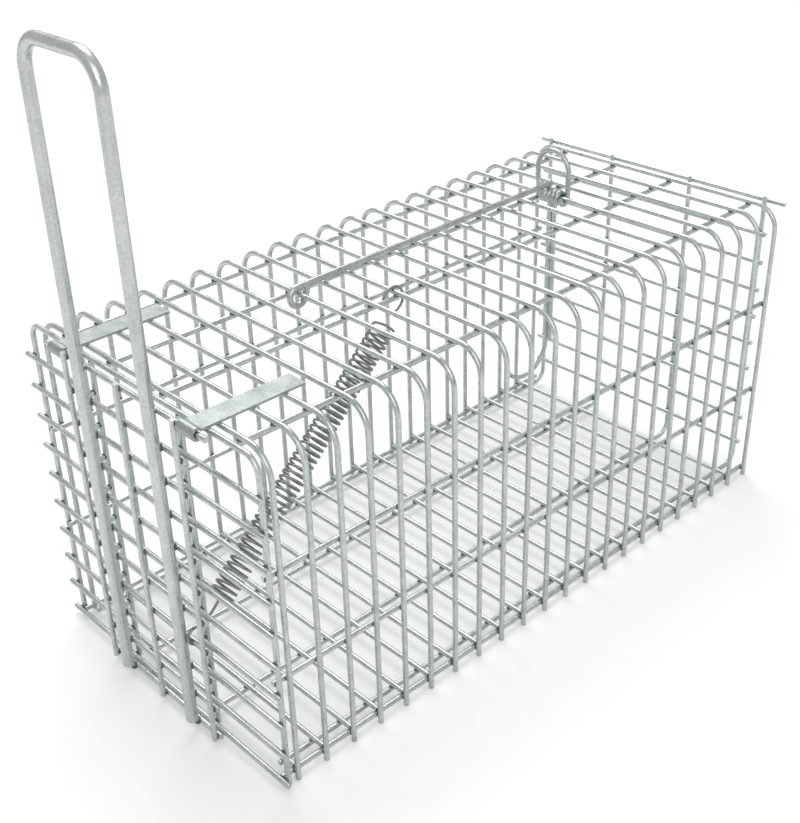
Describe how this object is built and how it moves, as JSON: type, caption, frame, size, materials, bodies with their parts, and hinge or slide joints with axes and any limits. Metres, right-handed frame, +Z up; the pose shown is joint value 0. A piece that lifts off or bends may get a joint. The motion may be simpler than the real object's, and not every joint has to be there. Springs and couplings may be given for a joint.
{
  "type": "live catch trap",
  "caption": "Wire mesh live catch cage trap for small animals: a sprung drop door with a tall wire handle, hinge straps, a trigger rod and a hanging bait hook.",
  "frame": {"origin": "centre of the footprint on the ground, handle and rear wire included", "axes": "+Z up, the door and the handle face -Y, the closed end is +Y, X across"},
  "size_m": [0.136, 0.2856, 0.2407],
  "materials": {
    "cage_wire": "satin galvanised zinc",
    "door_wire": "satin galvanised zinc",
    "handle_wire": "bright galvanised zinc",
    "formed_wire": "satin galvanised zinc",
    "strap_sheet": "matt zinc-coated sheet",
    "spring_wire": "satin spring steel"
  },
  "bodies": {
    "cage": {"hoop_01": "cage_wire", "hoop_02": "cage_wire", "hoop_03": "cage_wire", "hoop_04": "cage_wire", "hoop_05": "cage_wire", "hoop_06": "cage_wire", "hoop_07": "cage_wire", "hoop_08": "cage_wire", "hoop_09": "cage_wire", "hoop_10": "cage_wire", "hoop_11": "cage_wire", "hoop_12": "cage_wire", "hoop_13": "cage_wire", "hoop_14": "cage_wire", "hoop_15": "cage_wire", "hoop_16": "cage_wire", "hoop_17": "cage_wire", "hoop_18": "cage_wire", "hoop_19": "cage_wire", "hoop_20": "cage_wire", "hoop_21": "cage_wire", "hoop_22": "cage_wire", "front_hoop": "cage_wire", "top_wire_1": "cage_wire", "top_wire_2": "cage_wire", "top_wire_3": "cage_wire", "top_wire_4": "cage_wire", "side_wire_left_high": "cage_wire", "side_wire_left_low": "cage_wire", "side_wire_right_high": "cage_wire", "side_wire_right_low": "cage_wire", "bottom_wire_left": "cage_wire", "bottom_wire_right": "cage_wire", "floor_rear_wire_1": "cage_wire", "floor_rear_wire_2": "cage_wire", "floor_rear_wire_3": "cage_wire", "floor_rear_wire_4": "cage_wire", "rear_top_wire": "cage_wire", "rear_bars": "cage_wire", "floor_cross_wires": "cage_wire", "front_bars_left": "cage_wire", "front_bars_right": "cage_wire", "front_sill": "cage_wire", "front_jamb_left": "cage_wire", "front_jamb_right": "cage_wire", "strap_left": "strap_sheet", "strap_right": "strap_sheet", "spring_upper_hook": "spring_wire"},
    "door": {"door_hinge_wire": "door_wire", "door_stile_left": "door_wire", "door_stile_right": "door_wire", "door_centre_wire": "door_wire", "door_bars": "door_wire", "handle": "handle_wire", "spring_lower_hook": "spring_wire"},
    "spring_base": {"spring_coil": "spring_wire"},
    "spring_tip": {"spring_end_neck": "spring_wire"},
    "rod": {"trigger_rod": "formed_wire"},
    "bait": {"bait_hook": "formed_wire"}
  },
  "joints": [
    {"name": "door_hinge", "type": "hinge", "parent": "cage", "child": "door", "pos_m": [0, -0.13742, 0.1304], "axis": [-1, 0, 0], "range_deg": [0, 88], "stiffness_Nm_per_rad": 0.4, "springref_deg": -20.05},
    {"name": "spring_swing", "type": "hinge", "parent": "cage", "child": "spring_base", "pos_m": [0.0086, -0.02722, 0.1216], "axis": [-0.9934, -0.0751, -0.0864], "range_deg": [0, 36.9], "deforming": ["spring_coil"]},
    {"name": "spring_stretch", "type": "slide", "parent": "spring_base", "child": "spring_tip", "axis": [0.1116, -0.8028, -0.5858], "range_m": [0, 0.06579]},
    {"name": "rod_swing", "type": "hinge", "parent": "cage", "child": "rod", "pos_m": [-0.015, -0.05262, 0.13], "axis": [1, 0, 0], "range_deg": [0, 120]},
    {"name": "bait_swing", "type": "hinge", "parent": "cage", "child": "bait", "pos_m": [-0.0135, 0.08707, 0.13], "axis": [1, 0, 0], "range_deg": [-25, 25]}
  ],
  "couplings": [
    {"joint": "spring_swing", "follows": "door_hinge", "ratio": 0.41362},
    {"joint": "spring_stretch", "follows": "door_hinge", "m_per_rad": 0.042185}
  ]
}
